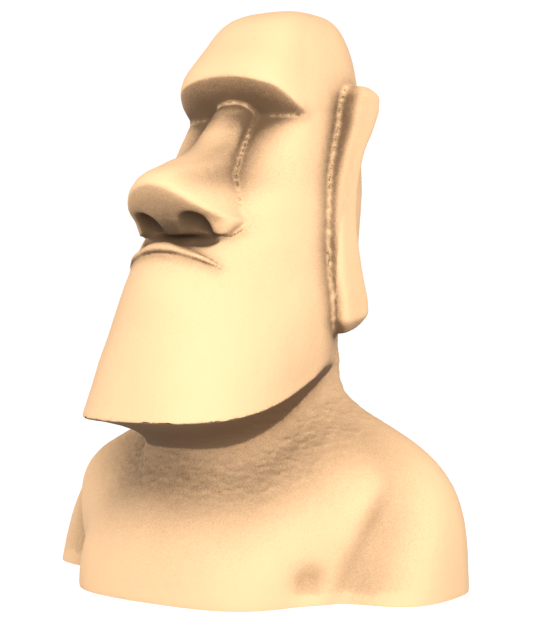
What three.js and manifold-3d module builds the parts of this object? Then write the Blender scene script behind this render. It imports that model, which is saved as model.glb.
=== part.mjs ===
// Moai bust: the head, long ears, neck and shoulders of an Easter Island statue, carved from one
// block of volcanic tuff and cut flat underneath.
//
// Millimetres, +Z up. The face looks along -Y, X = 0 is the plane of symmetry, and the origin is on
// the flat underside.
//
// The block is a stack of level outlines, each an oval that can be squared off, joined by profile
// curves: underside, shoulders, waist of the neck, edge of the jaw, line of the eyes, edge of the
// brow, crown. The nose, the upper lip and the two ears are lofts of their own, joined to it.

import * as THREE from 'three';
import { ParametricGeometry } from 'three/addons/geometries/ParametricGeometry.js';
import { mergeVertices } from 'three/addons/utils/BufferGeometryUtils.js';
import Module from 'manifold-3d';

// ---------------------------------------------------------------------------------------------
// Driving dimensions (mm)
// ---------------------------------------------------------------------------------------------

// Heights above the underside.
const HEIGHT = 2370;
const BROW_Z = 2035;
const EYE_Z = 1877;
const JAW_Z = 687;
const NECK_FRONT_Z = 560;
const NECK_BACK_Z = 880;

// Level outlines: half-width, Y of the front, of the widest point and of the back, and how square
// the front and the back are (2 is an ellipse, more is squarer).
const BASE = { half: 930, front: -590, middle: 175, back: 600, squareFront: 2.28, squareBack: 2.2 };
const NECK = { half: 330, front: -420, middle: 100, back: 505, squareFront: 2.3, squareBack: 2.3 };
const JAW = { half: 395, front: -715, middle: -100, back: 560, squareFront: 3.0, squareBack: 2.3 };
const EYES = { half: 305, front: 12, middle: 300, back: 700, squareFront: 5.0, squareBack: 2.5 };
const BROW = { half: 310, front: -130, middle: 270, back: 700, squareFront: 3.2, squareBack: 2.5 };

// The face between the jaw and the eyes: share of the height, then the outline there.
const FACE = [
  { at: 0, ...JAW },
  { at: 0.27, half: 390, front: -618, middle: 30, back: 610, squareFront: 2.35, squareBack: 2.4 },
  { at: 0.53, half: 361, front: -502, middle: 140, back: 650, squareFront: 2.0, squareBack: 2.5 },
  { at: 0.565, half: 360, front: -455, middle: 150, back: 655, squareFront: 2.08, squareBack: 2.5 },
  { at: 0.6, half: 358, front: -385, middle: 160, back: 660, squareFront: 2.25, squareBack: 2.5 },
  { at: 0.67, half: 353, front: -335, middle: 180, back: 670, squareFront: 2.45, squareBack: 2.5 },
  { at: 0.8, half: 332, front: -205, middle: 220, back: 685, squareFront: 2.9, squareBack: 2.5 },
  { at: 1, ...EYES },
];

// The crown gathers to a point over the back of the head.
const CROWN_Y = 545;

// The jaw edge climbs towards the ears: rise per mm squared behind the chin, up to a limit.
const JAW_RISE = 0.0003;
const JAW_RISE_END = 400;
const NAPE_TAPER = 0.13;

// The outline of the brow draws in at the temples.
const TEMPLE_TAPER = 0.97;

// Carving in the front of the shoulders: the soft groove between chest and upper arm, the hollow
// beside the chest, and the small dent next to the groove.
const GROOVE_DEPTH = 100;
const HOLLOW_DEPTH = 150;
const DENT_DEPTH = 32;

// The nose from its root to its underside: height, Y of the ridge, half-width, Y of the widest
// point, squareness of the outline.
const NOSE = [
  { at: 0, z: 1950, front: -15, half: 50, middle: 20, square: 2.3 },
  { at: 0.1, z: 1905, front: -75, half: 80, middle: 0, square: 2.5 },
  { at: 0.26, z: 1825, front: -138, half: 94, middle: -70, square: 2.5 },
  { at: 0.42, z: 1735, front: -235, half: 112, middle: -150, square: 2.5 },
  { at: 0.52, z: 1675, front: -395, half: 128, middle: -205, square: 2.4 },
  { at: 0.6, z: 1635, front: -525, half: 142, middle: -235, square: 2.2 },
  { at: 0.68, z: 1605, front: -573, half: 194, middle: -255, square: 2.2 },
  { at: 0.74, z: 1578, front: -588, half: 219, middle: -265, square: 2.2 },
  { at: 0.8, z: 1532, front: -558, half: 229, middle: -275, square: 2.35 },
  { at: 0.9, z: 1440, front: -465, half: 232, middle: -305, square: 2.5 },
  { at: 1, z: 1388, front: -420, half: 210, middle: -345, square: 2.6 },
];
const NOSE_ROOTED = 160;
const NOSE_DROOP = 0.0023;

// Nostrils, hollowed out of the underside of the nose and open towards the lip.
const NOSTRIL = { x: 108, y: -425, z: 1400, rx: 56, ry: 85, rz: 95 };

// The recess between the underside of the nose and the lip.
const RECESS = { x: 0, y: -400, z: 1368, rx: 205, ry: 70, rz: 34 };

// Upper lip: a tapering roll that droops towards the corners of the mouth.
const LIP = { half: 232, z: 1337, droop: 82, deep: 28, tall: 23, proud: 4 };

// Ears: height, Y of the front and back edges, and X of the outer face.
const EAR = [
  { at: 985, front: 165, back: 290, outer: 415 },
  { at: 1030, front: 133, back: 330, outer: 440 },
  { at: 1120, front: 120, back: 342, outer: 442 },
  { at: 1240, front: 115, back: 318, outer: 430 },
  { at: 1350, front: 125, back: 302, outer: 418 },
  { at: 1470, front: 135, back: 302, outer: 406 },
  { at: 1600, front: 166, back: 325, outer: 400 },
  { at: 1750, front: 232, back: 385, outer: 395 },
  { at: 1860, front: 290, back: 465, outer: 395 },
  { at: 1950, front: 324, back: 515, outer: 392 },
  { at: 2004, front: 365, back: 515, outer: 380 },
  { at: 2032, front: 405, back: 475, outer: 350 },
];
const EAR_INNER = 240;
const EAR_SQUARE = 5;
const EAR_FOOT_SLOPE = 0.22;

// Mesh density.
const COLUMNS = 64;
const ROWS = { torso: 14, underJaw: 5, face: 16, underBrow: 4, crown: 10 };

// ---------------------------------------------------------------------------------------------
// Curves
// ---------------------------------------------------------------------------------------------

const clamp01 = (t) => Math.min(1, Math.max(0, t));
const mix = (a, b, t) => a + (b - a) * t;

// Smooth step from 0 to 1.
function ease(t) {
  const c = clamp01(t);
  return c * c * (3 - 2 * c);
}

// Bell curve, 1 at zero.
const bell = (t) => Math.exp(-t * t);

// Bezier curve of any degree, by repeated mixing of its control values.
function bezier(values, t) {
  let level = values;
  while (level.length > 1) {
    level = level.slice(1).map((value, i) => mix(level[i], value, t));
  }
  return level[0];
}

// Smooth curve through the stations' values of one key, as a cubic between each pair.
function through(stations, key, at) {
  const x = stations.map((s) => s.at);
  const y = stations.map((s) => s[key]);
  const last = x.length - 1;
  const slope = (i) => (y[i + 1] - y[i]) / (x[i + 1] - x[i]);
  const tangent = (i) => {
    if (i === 0) return slope(0);
    if (i === last) return slope(last - 1);
    const before = x[i] - x[i - 1];
    const after = x[i + 1] - x[i];
    return (slope(i - 1) * after + slope(i) * before) / (before + after);
  };
  let i = 0;
  while (i < last - 1 && at >= x[i + 1]) i += 1;
  const h = x[i + 1] - x[i];
  const t = clamp01((at - x[i]) / h);
  return (1 + 2 * t) * (1 - t) ** 2 * y[i]
    + t * (1 - t) ** 2 * h * tangent(i)
    + t * t * (3 - 2 * t) * y[i + 1]
    + t * t * (t - 1) * h * tangent(i + 1);
}

// One outline's values at a place between stations.
function outlineAt(stations, at) {
  const outline = {};
  for (const key of Object.keys(stations[0])) {
    outline[key] = through(stations, key, at);
  }
  return outline;
}

// Point of an outline in the direction `angle`: 0 is the front (-Y), a quarter turn is +X.
function outlinePoint(outline, angle) {
  const s = Math.sin(angle);
  const c = Math.cos(angle);
  const n = mix(outline.squareBack, outline.squareFront, ease(0.5 + 0.8 * c));
  const deep = c > 0 ? outline.middle - outline.front : outline.back - outline.middle;
  const radius = ((Math.abs(s) / outline.half) ** n + (Math.abs(c) / deep) ** n) ** (-1 / n);
  return { x: radius * s, y: outline.middle - radius * c };
}

// ---------------------------------------------------------------------------------------------
// The body of the block
// ---------------------------------------------------------------------------------------------

// The waist of the neck: low in front, higher at the sides and back.
function neckPoint(angle) {
  const p = outlinePoint(NECK, angle);
  return { ...p, z: mix(NECK_FRONT_Z, NECK_BACK_Z, ease((p.y - NECK.front) / 750)) };
}

// The edge of the jaw: level under the chin, climbing to the ears, narrower at the nape.
function jawHeight(y) {
  return JAW_Z + JAW_RISE * (Math.min(y, JAW_RISE_END) - JAW.front) ** 2;
}

function napeTaper(y) {
  return 1 - NAPE_TAPER * ease(y / 400);
}

function jawPoint(angle) {
  const p = outlinePoint(JAW, angle);
  return { x: p.x * napeTaper(p.y), y: p.y, z: jawHeight(p.y) };
}

// The edge of the brow: an arch that comes down to the eye line at the temples.
function browPoint(angle) {
  const p = outlinePoint(BROW, angle);
  const temple = ease((p.y + 90) / 180);
  const z = BROW_Z - 50 * (p.x / 250) ** 2 * (1 - temple) - 130 * temple;
  return { x: p.x * mix(1, TEMPLE_TAPER, temple), y: p.y, z };
}

// Shoulders and chest: from the underside up to the neck. The sides stand upright and turn in
// at the shoulder; the chest leans back all the way.
function torsoPoint(angle, t) {
  const neck = neckPoint(angle);
  const base = outlinePoint(BASE, angle);
  const chest = ease((Math.cos(angle) - 0.25) / 0.65);
  const out = mix(
    bezier([1, 0.995, 0.985, 0.98, 0.55, 0.13, -0.02, 0], t),
    bezier([1, 0.97, 0.9, 0.6, 0.2, 0, 0, 0], t),
    chest,
  );
  const up = mix(
    bezier([0, 0.22, 0.45, 0.67, 0.75, 0.77, 0.86, 1], t),
    bezier([0, 0.15, 0.32, 0.5, 0.68, 0.8, 0.9, 1], t),
    chest,
  );
  return carveShoulder({
    x: mix(neck.x, base.x, out),
    y: mix(neck.y, base.y, out),
    z: neck.z * up,
  });
}

// The groove that parts the arm from the chest, the hollow beside the chest and the dent.
function carveShoulder(p) {
  const dy = p.y - BASE.middle;
  const radius = Math.hypot(p.x, dy);
  const degrees = THREE.MathUtils.radToDeg(Math.atan2(Math.abs(p.x), -dy));
  const groove = GROOVE_DEPTH * bell((degrees - 61 - 0.033 * p.z) / 8) * ease((620 - p.z) / 350);
  const hollow = HOLLOW_DEPTH * bell((degrees - 49 - 0.02 * p.z) / 15) * ease((550 - p.z) / 500);
  const dent = DENT_DEPTH * bell((degrees - 49) / 4.5) * bell((p.z - 90) / 60);
  const keep = 1 - (groove + hollow + dent) / radius;
  return { x: p.x * keep, y: BASE.middle + dy * keep, z: p.z };
}

// Under the jaw: the neck sweeps out to the jaw edge in front and runs straight up at the nape.
function underJawPoint(angle, t) {
  const neck = neckPoint(angle);
  const jaw = jawPoint(angle);
  const front = ease((300 - neck.y) / 550);
  const out = mix(bezier([0, 0.1, 0.75, 1], t), bezier([0, 0.02, 0.35, 1], t), front);
  const up = mix(t, bezier([0, 0.42, 0.72, 1], t), front);
  return {
    x: mix(neck.x, jaw.x, out),
    y: mix(neck.y, jaw.y, out),
    z: mix(neck.z, jaw.z, up),
  };
}

// The face, from the jaw edge to the line of the eyes.
function facePoint(angle, t) {
  const p = outlinePoint(outlineAt(FACE, t), angle);
  const z = mix(jawPoint(angle).z, EYE_Z, t);
  const taper = mix(1, napeTaper(p.y), ease(1 - t / 0.35));
  return { x: p.x * taper, y: p.y, z };
}

// The hollow under the brow.
function underBrowPoint(angle, t) {
  const eyes = outlinePoint(EYES, angle);
  const brow = browPoint(angle);
  const out = bezier([0, 0.18, 0.72, 1], t);
  return {
    x: mix(eyes.x, brow.x, out),
    y: mix(eyes.y, brow.y, out),
    z: mix(EYE_Z, brow.z, t),
  };
}

// Forehead and crown: an upright oval dome, a little flatter over the forehead.
function crownPoint(angle, t) {
  const brow = browPoint(angle);
  const up = Math.sin(t * Math.PI / 2);
  const lean = 0.08 * Math.sin(Math.PI * up) ** 2 * ease(0.5 + 0.6 * Math.cos(angle));
  const out = Math.max(0, Math.cos(t * Math.PI / 2)) ** 0.75 - lean;
  return {
    x: brow.x * out,
    y: mix(CROWN_Y, brow.y, out),
    z: mix(brow.z, HEIGHT, up),
  };
}

const SECTIONS = [
  { rows: 1, point: (angle, t) => {
    const p = torsoPoint(angle, 0);
    return { x: p.x * t, y: mix(BASE.middle, p.y, t), z: 0 };
  } },
  { rows: ROWS.torso, point: torsoPoint },
  { rows: ROWS.underJaw, point: underJawPoint },
  { rows: ROWS.face, point: facePoint },
  { rows: ROWS.underBrow, point: underBrowPoint },
  { rows: ROWS.crown, point: crownPoint },
];
const BODY_ROWS = SECTIONS.reduce((sum, section) => sum + section.rows, 0);

function bodyPoint(u, v, target) {
  const angle = u * 2 * Math.PI;
  let row = Math.round(v * BODY_ROWS);
  let k = 0;
  while (k < SECTIONS.length - 1 && row > SECTIONS[k].rows) {
    row -= SECTIONS[k].rows;
    k += 1;
  }
  const p = SECTIONS[k].point(angle, row / SECTIONS[k].rows);
  target.set(p.x, p.y, p.z);
}

// ---------------------------------------------------------------------------------------------
// Nose, lip and ears
// ---------------------------------------------------------------------------------------------

// Close a loft: the first and last rows draw in to their own centres.
function capped(rows, ring, centre) {
  return (u, v, target) => {
    const row = Math.round(v * (rows + 2));
    const t = clamp01((row - 1) / rows);
    const p = row === 0 || row === rows + 2 ? centre(t) : ring(u * 2 * Math.PI, t);
    target.set(p.x, p.y, p.z);
  };
}

// The outline of the nose; its front edge droops towards the wings.
function nosePoint(angle, t) {
  const s = outlineAt(NOSE, 1 - t);
  const at = 1 - t;
  const outline = {
    ...s, back: s.middle + NOSE_ROOTED, squareFront: s.square, squareBack: s.square,
  };
  const p = outlinePoint(outline, angle);
  const droop = NOSE_DROOP * ease((at - 0.52) / 0.2) * (1 - ease((at - 0.72) / 0.2));
  return { ...p, z: s.z - droop * p.x * p.x };
}

function noseCentre(t) {
  const s = outlineAt(NOSE, 1 - t);
  return { x: 0, y: s.middle, z: s.z };
}

// Y of the face's surface, in front of the ears, at a place across and up it.
function faceY(x, z) {
  const s = outlineAt(FACE, (z - 700) / (EYE_Z - 700));
  const n = s.squareFront;
  return s.middle - (s.middle - s.front) * (1 - clamp01(Math.abs(x) / s.half) ** n) ** (1 / n);
}

// Centre line of the upper lip, from one corner of the mouth (t = -1) to the other (t = 1).
function lipCentre(t) {
  const x = LIP.half * t;
  const z = LIP.z - LIP.droop * t * t;
  return { x, y: faceY(x, z) - LIP.proud, z };
}

function lipPoint(angle, t) {
  const along = 2 * t - 1;
  const c = lipCentre(along);
  const a = lipCentre(along - 0.02);
  const b = lipCentre(along + 0.02);
  const length = Math.hypot(b.x - a.x, b.y - a.y);
  const swell = Math.max(0.02, 1 - along * along);
  const deep = LIP.deep * swell * Math.cos(angle);
  return {
    x: c.x + ((b.y - a.y) / length) * deep,
    y: c.y - ((b.x - a.x) / length) * deep,
    z: c.z + LIP.tall * swell * Math.sin(angle),
  };
}

// One ear: a slab with a wide round top, a narrow middle and a lobe that stands out. Its foot
// climbs towards the back.
function earHeight(t) {
  return mix(EAR[0].at, EAR[EAR.length - 1].at, 0.5 - 0.5 * Math.cos(Math.PI * t));
}

function earPoint(angle, t) {
  const z = earHeight(t);
  const s = outlineAt(EAR, z);
  const outline = {
    half: (s.outer - EAR_INNER) / 2,
    front: s.front,
    middle: (s.front + s.back) / 2,
    back: s.back,
    squareFront: EAR_SQUARE,
    squareBack: EAR_SQUARE,
  };
  const p = outlinePoint(outline, angle);
  return { x: p.x + (s.outer + EAR_INNER) / 2, y: p.y, z: z + earSlope(p.y, z) };
}

function earSlope(y, z) {
  return EAR_FOOT_SLOPE * (y - EAR[2].front) * ease((EAR[2].at - z) / 130);
}

function earCentre(t) {
  const z = earHeight(t);
  const s = outlineAt(EAR, z);
  const y = (s.front + s.back) / 2;
  return { x: (s.outer + EAR_INNER) / 2, y, z: z + earSlope(y, z) };
}

// ---------------------------------------------------------------------------------------------
// Solids
// ---------------------------------------------------------------------------------------------

const wasm = await Module();
wasm.setup();

// Turn a closed geometry into a solid: shared vertices are merged, the slivers at the poles are
// dropped, and the faces are turned to point out.
function solid(geometry) {
  geometry.deleteAttribute('normal');
  geometry.deleteAttribute('uv');
  const merged = mergeVertices(geometry, 0.05);
  const position = merged.attributes.position;
  const corner = [0, 1, 2].map(() => new THREE.Vector3());
  const triangles = [];
  let volume = 0;
  for (let i = 0; i < merged.index.count; i += 3) {
    const abc = [0, 1, 2].map((k) => merged.index.getX(i + k));
    if (new Set(abc).size === 3) {
      abc.forEach((index, k) => corner[k].fromBufferAttribute(position, index));
      volume += corner[0].dot(corner[1].clone().cross(corner[2]));
      triangles.push(abc);
    }
  }
  const ordered = volume > 0 ? triangles : triangles.map(([a, b, c]) => [a, c, b]);
  return new wasm.Manifold(new wasm.Mesh({
    numProp: 3,
    vertProperties: new Float32Array(position.array),
    triVerts: new Uint32Array(ordered.flat()),
  }));
}

function geometryOf(manifold) {
  const mesh = manifold.getMesh();
  const geometry = new THREE.BufferGeometry();
  geometry.setAttribute('position', new THREE.BufferAttribute(mesh.vertProperties, 3));
  geometry.setIndex(new THREE.BufferAttribute(mesh.triVerts, 1));
  const faceted = geometry.toNonIndexed();
  faceted.computeVertexNormals();
  return faceted;
}

function loft(columns, rows, ring, centre) {
  return solid(new ParametricGeometry(capped(rows, ring, centre), columns, rows + 2));
}

// An oval plug of air, to be taken out of the stone.
function plug(size, side, columns, rows) {
  const sphere = new THREE.SphereGeometry(1, columns, rows);
  sphere.scale(size.rx, size.ry, size.rz);
  sphere.translate(side * size.x, size.y, size.z);
  return solid(sphere);
}

const body = solid(new ParametricGeometry(bodyPoint, COLUMNS, BODY_ROWS))
  .subtract(plug(RECESS, 1, 24, 10));

const nostrils = [-1, 1].map((side) => plug(NOSTRIL, side, 20, 14));
const nose = nostrils.reduce(
  (rest, nostril) => rest.subtract(nostril),
  loft(32, 20, nosePoint, noseCentre),
);

const lip = loft(8, 20, lipPoint, (t) => lipCentre(2 * t - 1));

const ears = [-1, 1].map((side) => {
  const ring = (angle, t) => {
    const p = earPoint(angle, t);
    return { ...p, x: side * p.x };
  };
  const centre = (t) => {
    const p = earCentre(t);
    return { ...p, x: side * p.x };
  };
  return loft(18, 16, ring, centre);
});

const bust = [nose, lip, ...ears].reduce((whole, piece) => whole.add(piece), body);

// ---------------------------------------------------------------------------------------------
// Scene graph
// ---------------------------------------------------------------------------------------------

const stone = new THREE.MeshStandardMaterial({ color: 0xf2dcab, roughness: 0.9, metalness: 0 });

const moai = new THREE.Mesh(geometryOf(bust), stone);
moai.name = 'moai_bust';

const group = new THREE.Group();
group.name = 'moai';
group.add(moai);

export default group;
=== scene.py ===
# A moai bust: the head, long ears, neck and shoulders of an Easter Island statue, carved from one block
# of volcanic tuff and cut flat underneath. Metres, +Z up; the face looks along -Y.
#
# The script follows the carving: the block is roughed out, the nose, lip and ears are left standing on
# it, the nostrils and mouth are cut in, and then come the marks of the tools and the finish of the stone.

import math

import bpy
import numpy as np
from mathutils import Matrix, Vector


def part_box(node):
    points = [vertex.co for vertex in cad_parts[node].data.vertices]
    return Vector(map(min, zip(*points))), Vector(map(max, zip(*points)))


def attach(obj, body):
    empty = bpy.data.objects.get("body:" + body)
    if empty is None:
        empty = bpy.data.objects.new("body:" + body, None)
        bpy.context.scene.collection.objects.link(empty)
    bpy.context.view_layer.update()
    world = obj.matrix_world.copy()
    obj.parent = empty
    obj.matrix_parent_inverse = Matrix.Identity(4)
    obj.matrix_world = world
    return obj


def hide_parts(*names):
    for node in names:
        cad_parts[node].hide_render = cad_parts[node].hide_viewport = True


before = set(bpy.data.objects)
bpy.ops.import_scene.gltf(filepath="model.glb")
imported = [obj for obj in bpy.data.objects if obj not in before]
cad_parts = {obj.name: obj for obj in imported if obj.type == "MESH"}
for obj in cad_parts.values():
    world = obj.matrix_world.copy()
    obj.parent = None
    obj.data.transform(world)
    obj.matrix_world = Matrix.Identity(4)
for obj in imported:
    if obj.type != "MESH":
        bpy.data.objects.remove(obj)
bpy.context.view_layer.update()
low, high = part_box("moai_bust")

# ------------------------------------------------------------------------------------------------
# The block: head, neck and shoulders. It is one piece of tuff, roughed out with stone picks. Level
# outlines (underside, neck, jaw, eyes, brow) are joined by profile curves up to the crown.
# ------------------------------------------------------------------------------------------------

BROW_Z = 2.035
EYE_Z = 1.877
JAW_Z = 0.687
NECK_FRONT_Z = 0.560
NECK_BACK_Z = 0.880

BASE = dict(half=high.x, front=-0.590, middle=0.175, back=0.600, square_front=2.28, square_back=2.2)
NECK = dict(half=0.330, front=-0.420, middle=0.100, back=0.505, square_front=2.3, square_back=2.3)
JAW = dict(half=0.395, front=low.y, middle=-0.100, back=0.560, square_front=3.0, square_back=2.3)
EYES = dict(half=0.305, front=0.012, middle=0.300, back=high.y, square_front=5.0, square_back=2.5)
BROW = dict(half=0.310, front=-0.130, middle=0.270, back=high.y, square_front=3.2, square_back=2.5)

FACE_KEYS = ("at", "half", "front", "middle", "back", "square_front", "square_back")
FACE = [
    dict(JAW, at=0),
    dict(zip(FACE_KEYS, (0.27, 0.390, -0.618, 0.030, 0.610, 2.35, 2.4))),
    dict(zip(FACE_KEYS, (0.53, 0.361, -0.502, 0.140, 0.650, 2.00, 2.5))),
    dict(zip(FACE_KEYS, (0.565, 0.360, -0.455, 0.150, 0.655, 2.08, 2.5))),
    dict(zip(FACE_KEYS, (0.60, 0.358, -0.385, 0.160, 0.660, 2.25, 2.5))),
    dict(zip(FACE_KEYS, (0.67, 0.353, -0.335, 0.180, 0.670, 2.45, 2.5))),
    dict(zip(FACE_KEYS, (0.80, 0.332, -0.205, 0.220, 0.685, 2.90, 2.5))),
    dict(EYES, at=1),
]

CROWN_Y = 0.545
JAW_RISE = 0.3
JAW_RISE_END = 0.400
NAPE_TAPER = 0.13
TEMPLE_TAPER = 0.97
GROOVE_DEPTH = 0.100
HOLLOW_DEPTH = 0.150
DENT_DEPTH = 0.032


def mix(a, b, t):
    """a where t is 0, b where t is 1, in proportion between."""
    return a + (b - a) * t


def ease(t):
    """Smooth step: 3t^2 - 2t^3 from 0 to 1, level outside."""
    t = np.clip(t, 0, 1)
    return t * t * (3 - 2 * t)


def bell(t):
    """Bell curve: e to the power -t^2."""
    return np.exp(-t * t)


def bezier(values, t):
    """Bezier curve of any degree: the control values are mixed in pairs until one is left."""
    while len(values) > 1:
        values = [mix(a, b, t) for a, b in zip(values, values[1:])]
    return values[0]


def through(stations, key, at):
    """Smooth curve through the stations: a cubic between each pair, sloping at each station as the two
    chords beside it do, weighted towards the shorter."""
    x = np.array([s["at"] for s in stations], float)
    y = np.array([s[key] for s in stations], float)
    step = np.diff(x)
    slope = np.diff(y) / step
    inner = (slope[:-1] * step[1:] + slope[1:] * step[:-1]) / (x[2:] - x[:-2])
    tangent = np.concatenate((slope[:1], inner, slope[-1:]))
    i = np.clip(np.searchsorted(x, at, side="right") - 1, 0, len(step) - 1)
    t = np.clip((at - x[i]) / step[i], 0, 1)
    start = (1 + 2 * t) * (1 - t) ** 2 * y[i] + t * (1 - t) ** 2 * step[i] * tangent[i]
    end = t * t * (3 - 2 * t) * y[i + 1] + t * t * (t - 1) * step[i] * tangent[i + 1]
    return start + end


def outline_at(stations, at):
    """One outline's values at a place between the stations."""
    return {key: through(stations, key, at) for key in stations[0]}


def oval(outline, angle):
    """Point of an outline in the direction angle, 0 being the front and a quarter turn +X. The radius is
    that of |sin/half|^n + |cos/deep|^n = 1, with n going from the squareness behind to that in front."""
    s, c = np.sin(angle), np.cos(angle)
    n = mix(outline["square_back"], outline["square_front"], ease(0.5 + 0.8 * c))
    deep = np.where(c > 0, outline["middle"] - outline["front"], outline["back"] - outline["middle"])
    radius = (np.abs(s / outline["half"]) ** n + np.abs(c / deep) ** n) ** (-1 / n)
    return radius * s, outline["middle"] - radius * c


def neck_point(angle):
    """The waist of the neck: an oval, low in front and higher behind."""
    x, y = oval(NECK, angle)
    return x, y, mix(NECK_FRONT_Z, NECK_BACK_Z, ease((y - NECK["front"]) / 0.75))


def jaw_height(y):
    """Height of the jaw edge: it climbs with the square of the distance behind the chin."""
    return JAW_Z + JAW_RISE * (np.minimum(y, JAW_RISE_END) - JAW["front"]) ** 2


def nape_taper(y):
    """The jaw's outline draws in towards the nape."""
    return 1 - NAPE_TAPER * ease(y / 0.4)


def jaw_point(angle):
    """The edge of the jaw."""
    x, y = oval(JAW, angle)
    return x * nape_taper(y), y, jaw_height(y)


def brow_point(angle):
    """The edge of the brow: an arch that comes down to the line of the eyes at the temples."""
    x, y = oval(BROW, angle)
    temple = ease((y + 0.09) / 0.18)
    z = BROW_Z - 0.05 * (x / 0.25) ** 2 * (1 - temple) - 0.13 * temple
    return x * mix(1, TEMPLE_TAPER, temple), y, z


def torso_point(angle, t):
    """Underside to neck: at the sides the profile stands upright and turns in at the shoulder, and the
    chest leans back all the way. The groove beside the arm, a hollow and a dent are then pressed in."""
    nx, ny, nz = neck_point(angle)
    bx, by = oval(BASE, angle)
    chest = ease((np.cos(angle) - 0.25) / 0.65)
    out = mix(
        bezier([1, 0.995, 0.985, 0.98, 0.55, 0.13, -0.02, 0], t),
        bezier([1, 0.97, 0.9, 0.6, 0.2, 0, 0, 0], t),
        chest,
    )
    up = mix(
        bezier([0, 0.22, 0.45, 0.67, 0.75, 0.77, 0.86, 1], t),
        bezier([0, 0.15, 0.32, 0.5, 0.68, 0.8, 0.9, 1], t),
        chest,
    )
    x, y, z = mix(nx, bx, out), mix(ny, by, out), nz * up
    dy = y - BASE["middle"]
    turn = np.degrees(np.arctan2(np.abs(x), -dy))
    groove = GROOVE_DEPTH * bell((turn - 61 - 33 * z) / 8) * ease((0.62 - z) / 0.35)
    hollow = HOLLOW_DEPTH * bell((turn - 49 - 20 * z) / 15) * ease((0.55 - z) / 0.5)
    dent = DENT_DEPTH * bell((turn - 49) / 4.5) * bell((z - 0.09) / 0.06)
    keep = 1 - (groove + hollow + dent) / np.hypot(x, dy)
    return x * keep, BASE["middle"] + dy * keep, z


def under_jaw_point(angle, t):
    """Neck to jaw edge: a sweep outwards in front, straight up at the nape."""
    nx, ny, nz = neck_point(angle)
    jx, jy, jz = jaw_point(angle)
    front = ease((0.3 - ny) / 0.55)
    out = mix(bezier([0, 0.1, 0.75, 1], t), bezier([0, 0.02, 0.35, 1], t), front)
    up = mix(t, bezier([0, 0.42, 0.72, 1], t), front)
    return mix(nx, jx, out), mix(ny, jy, out), mix(nz, jz, up)


def face_point(angle, t):
    """Jaw edge to the line of the eyes, through the face's stations."""
    x, y = oval(outline_at(FACE, t), angle)
    return x * mix(1, nape_taper(y), ease(1 - t / 0.35)), y, mix(jaw_point(angle)[2], EYE_Z, t)


def under_brow_point(angle, t):
    """The hollow under the brow, from the line of the eyes out to the edge of the brow."""
    ex, ey = oval(EYES, angle)
    bx, by, bz = brow_point(angle)
    out = bezier([0, 0.18, 0.72, 1], t)
    return mix(ex, bx, out), mix(ey, by, out), mix(EYE_Z, bz, t)


def crown_point(angle, t):
    """Forehead and crown: an upright oval dome, a little flatter over the forehead."""
    bx, by, bz = brow_point(angle)
    up = np.sin(t * np.pi / 2)
    lean = 0.08 * np.sin(np.pi * up) ** 2 * ease(0.5 + 0.6 * np.cos(angle))
    out = np.cos(t * np.pi / 2) ** 0.75 - lean
    return bx * out, mix(CROWN_Y, by, out), mix(bz, high.z, up)


def rings_of(point, angle, t):
    """The grid of points of one surface: a row for each t, a column for each angle."""
    return np.stack(np.broadcast_arrays(*point(angle[None, :], t[:, None])), -1)


def closed_loft(name, rings, ends):
    """A closed solid through level rings of points, with a fan of faces from the first and the last ring
    to its end point. It is turned inside out where its volume comes out negative."""
    rows, columns = rings.shape[:2]
    points = np.concatenate((rings.reshape(-1, 3), np.array(ends, float)))
    this = np.arange(rows * columns).reshape(rows, columns)
    ahead = np.roll(this, -1, 1)
    wall = np.stack((this[:-1], ahead[:-1], ahead[1:], this[1:]), -1).reshape(-1, 4)
    first = np.stack((ahead[0], this[0], np.full(columns, rows * columns)), -1)
    last = np.stack((this[-1], ahead[-1], np.full(columns, rows * columns + 1)), -1)
    triangles = np.concatenate((wall[:, :3], wall[:, [0, 2, 3]], first, last))
    a, b, c = points[triangles].swapaxes(0, 1)
    if np.sum(a * np.cross(b, c)) < 0:
        wall, first, last = wall[:, ::-1], first[:, ::-1], last[:, ::-1]
    mesh = bpy.data.meshes.new(name)
    mesh.from_pydata(points, [], wall.tolist() + first.tolist() + last.tolist())
    thing = bpy.data.objects.new(name, mesh)
    bpy.context.scene.collection.objects.link(thing)
    return thing


def full_turn(count):
    """Evenly spaced directions, once round."""
    return np.linspace(0, 2 * np.pi, count, endpoint=False)


SECTIONS = (
    (torso_point, 110),
    (under_jaw_point, 40),
    (face_point, 160),
    (under_brow_point, 26),
    (crown_point, 90),
)
bust = closed_loft(
    "moai_bust_stone",
    np.concatenate(
        [rings_of(point, full_turn(384), np.linspace(0, 1, rows, endpoint=False)) for point, rows in SECTIONS]
    ),
    ((0, BASE["middle"], 0), (0, CROWN_Y, high.z)),
)

# ------------------------------------------------------------------------------------------------
# The nose: left standing on the face in the same stone. A narrow bridge comes out of the brow and
# swells to a broad tip with drooping wings.
# ------------------------------------------------------------------------------------------------

NOSE_KEYS = ("at", "z", "front", "half", "middle", "square_front")
NOSE = [
    dict(zip(NOSE_KEYS, row))
    for row in (
        (0, 1.950, -0.015, 0.050, 0.020, 2.3),
        (0.10, 1.905, -0.075, 0.080, 0.000, 2.5),
        (0.26, 1.825, -0.138, 0.094, -0.070, 2.5),
        (0.42, 1.735, -0.235, 0.112, -0.150, 2.5),
        (0.52, 1.675, -0.395, 0.128, -0.205, 2.4),
        (0.60, 1.635, -0.525, 0.142, -0.235, 2.2),
        (0.68, 1.605, -0.573, 0.194, -0.255, 2.2),
        (0.74, 1.578, -0.588, 0.219, -0.265, 2.2),
        (0.80, 1.532, -0.558, 0.229, -0.275, 2.35),
        (0.90, 1.440, -0.465, 0.232, -0.305, 2.5),
        (1, 1.388, -0.420, 0.210, -0.345, 2.6),
    )
]
NOSE_ROOTED = 0.16
NOSE_DROOP = 2.3


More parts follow.
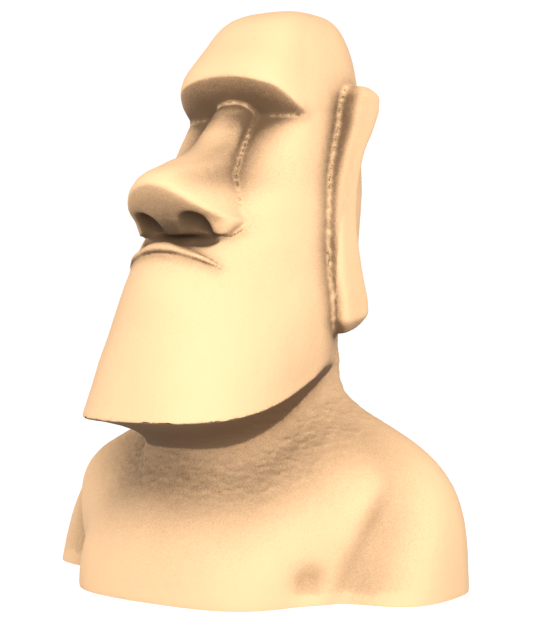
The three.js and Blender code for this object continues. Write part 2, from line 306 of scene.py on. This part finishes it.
def nose_point(angle, t):
    """Ovals from the underside (t = 0) to the root (t = 1); the front edge droops with x^2."""
    at = 1 - t
    s = outline_at(NOSE, at)
    x, y = oval(dict(s, back=s["middle"] + NOSE_ROOTED, square_back=s["square_front"]), angle)
    droop = NOSE_DROOP * ease((at - 0.52) / 0.2) * (1 - ease((at - 0.72) / 0.2))
    return x, y, s["z"] - droop * x * x


nose = closed_loft(
    "nose",
    rings_of(nose_point, full_turn(192), np.linspace(0, 1, 120)),
    [(0, NOSE[i]["middle"], NOSE[i]["z"]) for i in (-1, 0)],
)

# ------------------------------------------------------------------------------------------------
# The nostrils, hollowed out of the underside of the nose, and the recess between nose and upper lip.
# Each is an oval plug of air that is taken away from the stone.
# ------------------------------------------------------------------------------------------------

NOSTRIL_AT = (0.108, -0.425, 1.400)
NOSTRIL_RADII = (0.056, 0.085, 0.095)
RECESS_AT = (0, -0.400, 1.368)
RECESS_RADII = (0.205, 0.070, 0.034)


def plug(name, centre, radii):
    """An ellipsoid: level rings whose radius goes with the sine of t, half a turn from pole to pole."""
    def point(angle, t):
        ring = np.sin(np.pi * t)
        x = centre[0] + radii[0] * ring * np.sin(angle)
        y = centre[1] - radii[1] * ring * np.cos(angle)
        return x, y, centre[2] - radii[2] * np.cos(np.pi * t)

    rings = rings_of(point, full_turn(96), np.linspace(0, 1, 50)[1:-1])
    return closed_loft(name, rings, [(*centre[:2], centre[2] + end * radii[2]) for end in (-1, 1)])


nostrils = [plug("nostril", (side * NOSTRIL_AT[0], *NOSTRIL_AT[1:]), NOSTRIL_RADII) for side in (-1, 1)]
recess = plug("recess", RECESS_AT, RECESS_RADII)

# ------------------------------------------------------------------------------------------------
# The mouth: a thin upper lip left proud of the face as a tapering roll, and under it the slit of the
# mouth, a narrow cut that droops to its corners. Both follow one line across the face.
# ------------------------------------------------------------------------------------------------

LIP = dict(half=0.232, z=1.337, droop=0.082, deep=0.028, tall=0.023, proud=0.004)
SLIT = dict(half=0.222, below=0.022, deep=0.026, tall=0.005)


def face_y(x, z):
    """Y of the face in front of the ears, at a place across and up it."""
    s = outline_at(FACE, (z - 0.7) / (EYE_Z - 0.7))
    n = s["square_front"]
    across = np.clip(np.abs(x) / s["half"], 0, 1)
    return s["middle"] - (s["middle"] - s["front"]) * (1 - across ** n) ** (1 / n)


def mouth_line(t, half, below):
    """The line of the mouth, from one corner (t = -1) to the other (t = 1): a drooping parabola."""
    x = half * t
    z = LIP["z"] - LIP["droop"] * t * t - below
    return x, face_y(x, z + below) - LIP["proud"], z


def mouth_point(half, below, deep_half, tall_half):
    """A roll along the line of the mouth: ovals square to it, which taper towards the corners."""
    def point(angle, t):
        along = 2 * t - 1
        x, y, z = mouth_line(along, half, below)
        ax, ay, _ = mouth_line(along - 0.02, half, below)
        bx, by, _ = mouth_line(along + 0.02, half, below)
        length = np.hypot(bx - ax, by - ay)
        swell = np.maximum(0.02, 1 - along * along)
        deep = deep_half * swell * np.cos(angle)
        rise = tall_half * swell * np.sin(angle)
        return x + (by - ay) / length * deep, y - (bx - ax) / length * deep, z + rise
    return point


def mouth_roll(name, half, below, deep, tall):
    """The closed roll, ended at the two corners of the mouth."""
    rings = rings_of(mouth_point(half, below, deep, tall), full_turn(32), np.linspace(0, 1, 121))
    return closed_loft(name, rings, (rings[0].mean(0), rings[-1].mean(0)))


lip = mouth_roll("lip", LIP["half"], 0, LIP["deep"], LIP["tall"])
slit = mouth_roll("slit", SLIT["half"], SLIT["below"], SLIT["deep"], SLIT["tall"])

# ------------------------------------------------------------------------------------------------
# The ears: long upright slabs left on the sides of the head, with a wide round top, a narrow middle
# and a lobe that stands out.
# ------------------------------------------------------------------------------------------------

EAR_KEYS = ("at", "front", "back", "outer")
EAR = [
    dict(zip(EAR_KEYS, row))
    for row in (
        (0.985, 0.165, 0.290, 0.415),
        (1.030, 0.133, 0.330, 0.440),
        (1.120, 0.120, 0.342, 0.442),
        (1.240, 0.115, 0.318, 0.430),
        (1.350, 0.125, 0.302, 0.418),
        (1.470, 0.135, 0.302, 0.406),
        (1.600, 0.166, 0.325, 0.400),
        (1.750, 0.232, 0.385, 0.395),
        (1.860, 0.290, 0.465, 0.395),
        (1.950, 0.324, 0.515, 0.392),
        (2.004, 0.365, 0.515, 0.380),
        (2.032, 0.405, 0.475, 0.350),
    )
]
EAR_INNER = 0.24
EAR_SQUARE = 5
EAR_FOOT_SLOPE = 0.22


def ear_point(side):
    """Level rounded rectangles between the ear's edges, closer together at its top and foot."""
    def point(angle, t):
        z = mix(EAR[0]["at"], EAR[-1]["at"], 0.5 - 0.5 * np.cos(np.pi * t))
        s = outline_at(EAR, z)
        x, y = oval(
            dict(
                half=(s["outer"] - EAR_INNER) / 2,
                front=s["front"],
                middle=(s["front"] + s["back"]) / 2,
                back=s["back"],
                square_front=EAR_SQUARE,
                square_back=EAR_SQUARE,
            ),
            angle,
        )
        slope = EAR_FOOT_SLOPE * (y - EAR[2]["front"]) * ease((EAR[2]["at"] - z) / 0.13)
        return side * (x + (s["outer"] + EAR_INNER) / 2), y, z + slope
    return point


ears = []
for side in (-1, 1):
    rings = rings_of(ear_point(side), full_turn(96), np.linspace(0, 1, 160))
    ears.append(closed_loft("ear", rings, (rings[0].mean(0), rings[-1].mean(0))))

# ------------------------------------------------------------------------------------------------
# One stone: nose, lip and ears are joined to the block, nostrils and mouth are cut, and the whole skin
# is laid out again in even small faces, fine enough to take the marks of the tools.
# ------------------------------------------------------------------------------------------------

VOXEL = 0.0052


def settle(thing):
    """Works the object's modifiers into its mesh."""
    mesh = bpy.data.meshes.new_from_object(thing.evaluated_get(bpy.context.evaluated_depsgraph_get()))
    thing.modifiers.clear()
    thing.data = mesh


def work(stone, operation, *others):
    """Joins the other solids to the stone, or cuts them out of it, and uses them up."""
    for other in others:
        step = stone.modifiers.new(operation, "BOOLEAN")
        step.solver = "MANIFOLD"
        step.operation = operation
        step.object = other
    settle(stone)
    for other in others:
        bpy.data.objects.remove(other)


work(nose, "DIFFERENCE", *nostrils)
work(bust, "DIFFERENCE", recess)
work(bust, "UNION", nose, lip, *ears)
work(bust, "DIFFERENCE", slit)

remesh = bust.modifiers.new("even", "REMESH")
remesh.mode = "VOXEL"
remesh.voxel_size = VOXEL
settle(bust)

# ------------------------------------------------------------------------------------------------
# The marks of the tools, as real relief: beads of stone left along the inner corners of the head, nicks
# along the sharp edges, chips on the jaw, shallow pecked facets on the neck and upper chest, and a
# slight unevenness all over.
# ------------------------------------------------------------------------------------------------

RUBBING = 40
BEAD_HEIGHT = 0.0085
BEADS_APART = 0.024
NICK_DEPTH = 0.003
CHIP_DEPTH = 0.010
PECK_WIDTH = 0.050
PECK_DEPTH = 0.0022
# How much shade is painted into the colour at each place, and how much lighter the beads are painted.
PAINTED_SHADE = dict(nose=0.45, eyes=0.35, ears=0.4, arms=0.25, chest=0.35, mouth=0.3, beads_painted_lighter=0.5)


def read(mesh, collection, name, width, kind=np.float32):
    """One property of all vertices or edges, as an array with a row for each."""
    items = getattr(mesh, collection)
    values = np.empty(len(items) * width, kind)
    items.foreach_get(name, values)
    return values.reshape(-1, width)


def around(values, edges, passes=1):
    """Each vertex's mean over its neighbours along the edges, as many times as passes says."""
    count = len(values)
    degree = np.bincount(edges.ravel(), minlength=count)
    for _ in range(passes):
        columns = [
            np.bincount(edges[:, 0], values[edges[:, 1], k], count)
            + np.bincount(edges[:, 1], values[edges[:, 0], k], count)
            for k in range(values.shape[1])
        ]
        values = np.stack(columns, -1) / degree[:, None]
    return values


def scramble(cell, seed):
    """A repeatable number from 0 to 1 for each cell of a lattice: its three whole numbers are multiplied,
    mixed by exclusive or, and shifted."""
    cell = cell.astype(np.int64).astype(np.uint32)
    key = cell[..., 0] * np.uint32(0x8DA6B343) ^ cell[..., 1] * np.uint32(0xD8163841)
    key = key ^ cell[..., 2] * np.uint32(0xCB1AB31F) ^ np.uint32(seed * 0x9E3779B9 & 0xFFFFFFFF)
    for shift, factor in ((15, 0x2C1B3C6D), (12, 0x297A2D39), (15, 1)):
        key = (key ^ key >> np.uint32(shift)) * np.uint32(factor)
    return key / 2.0 ** 32


def noise(points, size, seed):
    """Smooth noise from -1 to 1 with bumps about size apart: lattice values, eased between corners."""
    cell = np.floor(points / size)
    part = ease(points / size - cell)
    total = 0
    for corner in np.ndindex(2, 2, 2):
        weight = np.prod(np.where(corner, part, 1 - part), -1)
        total = total + weight * scramble(cell + np.array(corner), seed)
    return 2 * total - 1


def facets(points, size, seed):
    """Shallow scoops about size across, from 0 at their middles to about 1 where they meet: the squared
    distance to the nearest of a scatter of points, one in each cell."""
    cell = np.floor(points / size)
    nearest = np.full(len(points), 9.0)
    for step in np.ndindex(3, 3, 3):
        there = cell + np.array(step) - 1
        middle = there + np.stack([scramble(there, seed + k) for k in range(3)], -1)
        nearest = np.minimum(nearest, np.sum((points / size - middle) ** 2, -1))
    return np.minimum(nearest / 0.6, 1.5)


mesh = bust.data
points = read(mesh, "vertices", "co", 3).astype(float)
edges = read(mesh, "edges", "vertices", 2, np.int32)

# Behind the cheek the edge of the jaw is rubbed round until it is lost in the neck, and so are the rims
# of the nostrils.
rubbed = ease((points[:, 1] + 0.04) / 0.12) * bell((points[:, 2] - jaw_height(points[:, 1])) / 0.07)
to_nostril = (np.abs(points) * (1, -1, 1) - NOSTRIL_AT) / NOSTRIL_RADII
rubbed = np.maximum(rubbed, bell((np.linalg.norm(to_nostril, axis=1) - 0.9) / 0.35))
for _ in range(RUBBING):
    points = mix(points, around(points, edges), rubbed[:, None])
mesh.vertices.foreach_set("co", points.astype(np.float32).ravel())
mesh.update()
normals = read(mesh, "vertices", "normal", 3).astype(float)
smooth_normals = around(normals, edges, 2)
smooth_normals /= np.linalg.norm(smooth_normals, axis=1)[:, None]

# The bend of the skin: positive in an inner corner, negative on a sharp edge.
bend = np.sum((around(points, edges) - points) * normals, -1) / VOXEL
bend = around(bend[:, None], edges)[:, 0]
inner_corner = np.clip(2.1 * around(ease((bend - 0.025) / 0.08)[:, None], edges, 4)[:, 0], 0, 1)
inner_corner *= ease((points[:, 2] - 0.9) / 0.1)
sharp_edge = ease((-bend - 0.045) / 0.09)

x, y, z = points.T
side = np.abs(x)
mouth = bell((z - mouth_line(np.clip(side / LIP["half"], 0, 1), LIP["half"], 0.012)[2]) / 0.03)
mouth = mouth * ease((LIP["half"] + 0.02 - side) / 0.06) * (y < -0.2)
jaw_edge = bell((z - jaw_height(y)) / 0.022) * (y < 0.2)
on_ear = (side > 0.3) * ease((y - 0.08) / 0.03)

beads = inner_corner * (1 - 0.7 * mouth) * (BEAD_HEIGHT + 0.0030 * noise(points, BEADS_APART, 1))
nicks = sharp_edge * (1 + on_ear) * (NICK_DEPTH + NICK_DEPTH * noise(points, BEADS_APART, 2))
chips = jaw_edge * sharp_edge * np.maximum(0, noise(points * (1, 1, 0.6), 0.030, 3)) * CHIP_DEPTH
pecked = ease((z - 0.25) / 0.2) * ease((jaw_height(y) - z) / 0.03)
pecked = pecked * ease((0.62 - np.hypot(x, y - 0.05)) / 0.2)
scoops = facets(points * (1, 1, 2.0) + 0.03 * noise(points, 0.12, 5)[:, None], PECK_WIDTH, 4) - 0.5
pecks = pecked * (PECK_DEPTH * scoops + 0.0010 * noise(points * (1, 1, 2), 0.018, 6))
uneven = 0.0014 * noise(points, 0.09, 7) + 0.0006 * noise(points, 0.02, 8)

# The relief fades out towards the underside, which stays flat.
above_foot = ease(z / 0.015)
lift = (beads - nicks - chips + pecks + uneven) * above_foot
points += smooth_normals * lift[:, None]
points[:, 2] = np.where(z < 0.004, 0, np.maximum(points[:, 2], 0))
mesh.vertices.foreach_set("co", points.astype(np.float32).ravel())
mesh.update()

# Shade painted into the colour, kept as a vertex attribute: darker beside the nose, along the line of the
# eyes, in front of the ears, in the groove beside the arm, on the chest under the jaw, at the mouth and on
# whatever faces down, most of all under the jaw. The beads in the inner corners are painted lighter.
in_front = ease((0.15 - y) / 0.1)
nose_half = 0.083 + 0.24 * (1.879 - z)
by_nose = in_front * bell((side - nose_half) / np.where(side < nose_half, 0.06, 0.12))
by_nose *= ease((1.90 - z) / 0.03) * ease((z - 1.50) / 0.12)
by_eyes = in_front * bell((z - EYE_Z - 0.005) / 0.04)
ear_front = through(EAR, "front", np.clip(z, EAR[0]["at"], EAR[-1]["at"]))
by_ears = bell((y - ear_front + 0.02) / 0.06) * (side < 0.405)
by_ears = by_ears * ease((z - 0.95) / 0.1) * ease((2.02 - z) / 0.05)
turn = np.degrees(np.arctan2(side, BASE["middle"] - y))
by_arms = bell((turn - 61 - 33 * z) / 9) * ease((0.78 - z) / 0.35)
on_chest = in_front * bell(side / 0.4) * bell((z - 0.44) / 0.13) * ease((JAW_Z - z) / 0.05)
facing_down = ease((-smooth_normals[:, 2] - 0.12) / 0.4) * ease((z - 0.5) / 0.1) * np.where(z < 1, 1.0, 0.3)
painted_shade = (
    PAINTED_SHADE["nose"] * by_nose
    + PAINTED_SHADE["eyes"] * by_eyes
    + PAINTED_SHADE["ears"] * by_ears
    + PAINTED_SHADE["arms"] * by_arms
    + PAINTED_SHADE["chest"] * on_chest
    + PAINTED_SHADE["mouth"] * mouth
)
# Painted shade on whatever faces down; the beads in the inner corners are painted lighter.
painted_shade += facing_down - PAINTED_SHADE["beads_painted_lighter"] * inner_corner * (1 - mouth)
mesh.attributes.new("painted_shade", "FLOAT", "POINT").data.foreach_set("value", painted_shade.astype(np.float32))

# ------------------------------------------------------------------------------------------------
# The skin is thinned to what a piece may hold: flat stretches lose faces first, relief keeps them.
# ------------------------------------------------------------------------------------------------

MOST_TRIANGLES = 197000

mesh.calc_loop_triangles()
thin = bust.modifiers.new("thin", "DECIMATE")
thin.ratio = min(1, MOST_TRIANGLES / len(mesh.loop_triangles))
settle(bust)
mesh = bust.data
mesh.shade_smooth()
mesh.set_sharp_from_angle(angle=math.radians(50))

edges = read(mesh, "edges", "vertices", 2, np.int32)
points = read(mesh, "vertices", "co", 3).astype(float)
normals = read(mesh, "vertices", "normal", 3).astype(float)
# How hollow the skin is in small dents, kept for painting shade into them.
hollow = np.sum((around(points, edges, 6) - points) * normals, -1)
hollow = around(hollow[:, None], edges, 2)[:, 0]
mesh.attributes.new("hollow", "FLOAT", "POINT").data.foreach_set(
    "value", np.clip(hollow / 0.012, -0.5, 0.5).astype(np.float32)
)

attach(bust, "root")
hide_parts("moai_bust")

# ------------------------------------------------------------------------------------------------
# The finish: bare tuff, matt, cream going to peach, with a fine grain and a faint mottle. Shade is
# painted into the colour: brown where the stone is closed in, at the places of the painted shade attribute,
# and in small hollows.
# ------------------------------------------------------------------------------------------------


class Value:
    """A node's output that can be used in arithmetic: an expression on values adds its Math nodes."""

    def __init__(self, graph, socket):
        self.graph = graph
        self.socket = socket

    def _math(self, operation, a, b):
        return self.graph.make("ShaderNodeMath", {"operation": operation}, {0: a, 1: b})

    def __add__(self, other):
        return self._math("ADD", self, other)

    def __sub__(self, other):
        return self._math("SUBTRACT", self, other)

    def __mul__(self, other):
        return self._math("MULTIPLY", self, other)

    def __rsub__(self, other):
        return self._math("SUBTRACT", other, self)

    __radd__ = __add__
    __rmul__ = __mul__


class Graph:
    """The nodes of one material or world."""

    def __init__(self, tree):
        self.tree = tree
        tree.nodes.clear()

    def make(self, kind, settings=None, sockets=None, output=0):
        """One node: its settings first, then its sockets' values or links. The output comes back."""
        node = self.tree.nodes.new(kind)
        for key, setting in (settings or {}).items():
            setattr(node, key, setting)
        for key, value in (sockets or {}).items():
            if isinstance(value, Value):
                self.tree.links.new(value.socket, node.inputs[key])
            else:
                node.inputs[key].default_value = value
        return Value(self, node.outputs[output]) if node.outputs else node


# The stone's own colour, and the dark brown of the shade that is painted into it.
STONE_OPEN = (0.80, 0.50, 0.27, 1)
STONE_PAINTED_SHADE = (0.150, 0.088, 0.045, 1)
SHELTER_REACH = 0.8
OCCLUSION_SHADE_PAINTED = 2.0
HOLLOW_SHADE_PAINTED = 0.5
GRAIN_DARKENS = 0.5
MOTTLE_DARKENS = 0.1

stone = bpy.data.materials.new("tuff")
stone.use_nodes = True
graph = Graph(stone.node_tree)
place = graph.make("ShaderNodeTexCoord", output="Object")


def grain(scale, detail):
    """Noise in the block's own coordinates, from 0 to 1."""
    return graph.make("ShaderNodeTexNoise", {}, {"Vector": place, "Scale": scale, "Detail": detail})


mottle = grain(5, 3)
speck = grain(170, 2)
pits = grain(120, 3)
painted_shade, hollow = [
    graph.make("ShaderNodeAttribute", {"attribute_name": name}, output="Fac") for name in ("painted_shade", "hollow")
]
openness = graph.make(
    "ShaderNodeAmbientOcclusion",
    {"samples": 16, "only_local": True},
    {"Distance": SHELTER_REACH},
    output="AO",
)
# Painted shade: ambient occlusion, the painted shade attribute and small hollows darken the colour; grain and
# mottle add random tone.
shade = (1 - openness) * OCCLUSION_SHADE_PAINTED + painted_shade + hollow * HOLLOW_SHADE_PAINTED
shade = shade + (mottle - 0.5) * MOTTLE_DARKENS + (speck - 0.5) * GRAIN_DARKENS
clamped = graph.make("ShaderNodeMath", {"operation": "MULTIPLY", "use_clamp": True}, {0: shade, 1: 1.0})
colour = graph.make(
    "ShaderNodeMix",
    {"data_type": "RGBA"},
    {"Factor": clamped, "A": STONE_OPEN, "B": STONE_PAINTED_SHADE},
    output="Result",
)
bump = graph.make(
    "ShaderNodeBump",
    {},
    {"Strength": 0.6, "Distance": 0.002, "Height": pits * 0.6 + speck * 0.4},
)
surface = graph.make(
    "ShaderNodeBsdfPrincipled",
    {},
    {
        "Base Color": colour,
        "Roughness": 0.84 + (pits - 0.5) * 0.15,
        "Specular IOR Level": 0.2,
        "Normal": bump,
    },
)
graph.make("ShaderNodeOutputMaterial", {}, {"Surface": surface})
bust.data.materials.clear()
bust.data.materials.append(stone)

# ------------------------------------------------------------------------------------------------
# The studio: a pale floor that runs out of sight, even light from the whole room, a broad soft key light
# beside the camera and a weaker one across from it.
# ------------------------------------------------------------------------------------------------

FLOOR_HALF = 30
FLOOR_GLOW = 0.95
ROOM_LIGHT = 0.72
BACKGROUND = 1.05

floor_mesh = bpy.data.meshes.new("floor")
corners = [(a * FLOOR_HALF, b * FLOOR_HALF, -0.001) for a, b in ((-1, -1), (1, -1), (1, 1), (-1, 1))]
floor_mesh.from_pydata(corners, [], [(0, 1, 2, 3)])
floor = bpy.data.objects.new("floor", floor_mesh)
bpy.context.scene.collection.objects.link(floor)
floor.visible_diffuse = False

paper = bpy.data.materials.new("paper")
paper.use_nodes = True
graph = Graph(paper.node_tree)
sheet = graph.make(
    "ShaderNodeBsdfPrincipled",
    {},
    {
        "Base Color": (0.2, 0.2, 0.2, 1),
        "Roughness": 1.0,
        "Specular IOR Level": 0.0,
        "Emission Color": (1, 1, 1, 1),
        "Emission Strength": FLOOR_GLOW,
    },
)
graph.make("ShaderNodeOutputMaterial", {}, {"Surface": sheet})
floor.data.materials.append(paper)

world = bpy.data.worlds.new("room")
bpy.context.scene.world = world
world.use_nodes = True
graph = Graph(world.node_tree)
seen = graph.make("ShaderNodeLightPath", output="Is Camera Ray")
strength = seen * BACKGROUND + (1 - seen) * ROOM_LIGHT
sky = graph.make("ShaderNodeBackground", {}, {"Color": (1, 1, 1, 1), "Strength": strength})
graph.make("ShaderNodeOutputWorld", {}, {"Surface": sky})

CAMERA_TURN = math.radians(34)
CAMERA_AT = (3.468, -4.908, 1.184)
AIM = (0, 0, 1.15)
LIGHT_AWAY = 6.5


def soft_light(name, turn, rise, energy):
    """A broad disk of light aimed at the bust: turned from -Y towards +X, and raised, in degrees."""
    lamp = bpy.data.lights.new(name, "AREA")
    lamp.shape = "DISK"
    lamp.size = 5.0
    lamp.energy = energy
    thing = bpy.data.objects.new(name, lamp)
    bpy.context.scene.collection.objects.link(thing)
    turn, rise = math.radians(turn), math.radians(rise)
    thing.location = (
        AIM[0] + LIGHT_AWAY * math.sin(turn) * math.cos(rise),
        AIM[1] - LIGHT_AWAY * math.cos(turn) * math.cos(rise),
        AIM[2] + LIGHT_AWAY * math.sin(rise),
    )
    thing.rotation_euler = (math.pi / 2 - rise, 0, turn)


soft_light("key", 43, 20, 500)
soft_light("fill", -75, 20, 130)

camera_lens = bpy.data.cameras.new("camera")
camera_lens.lens = 85
camera_lens.sensor_width = 36
camera_lens.shift_y = -0.037
camera = bpy.data.objects.new("camera", camera_lens)
bpy.context.scene.collection.objects.link(camera)
camera.location = CAMERA_AT
camera.rotation_euler = (math.pi / 2, 0, CAMERA_TURN)
bpy.context.scene.camera = camera
bpy.context.scene.view_settings.view_transform = "Standard"
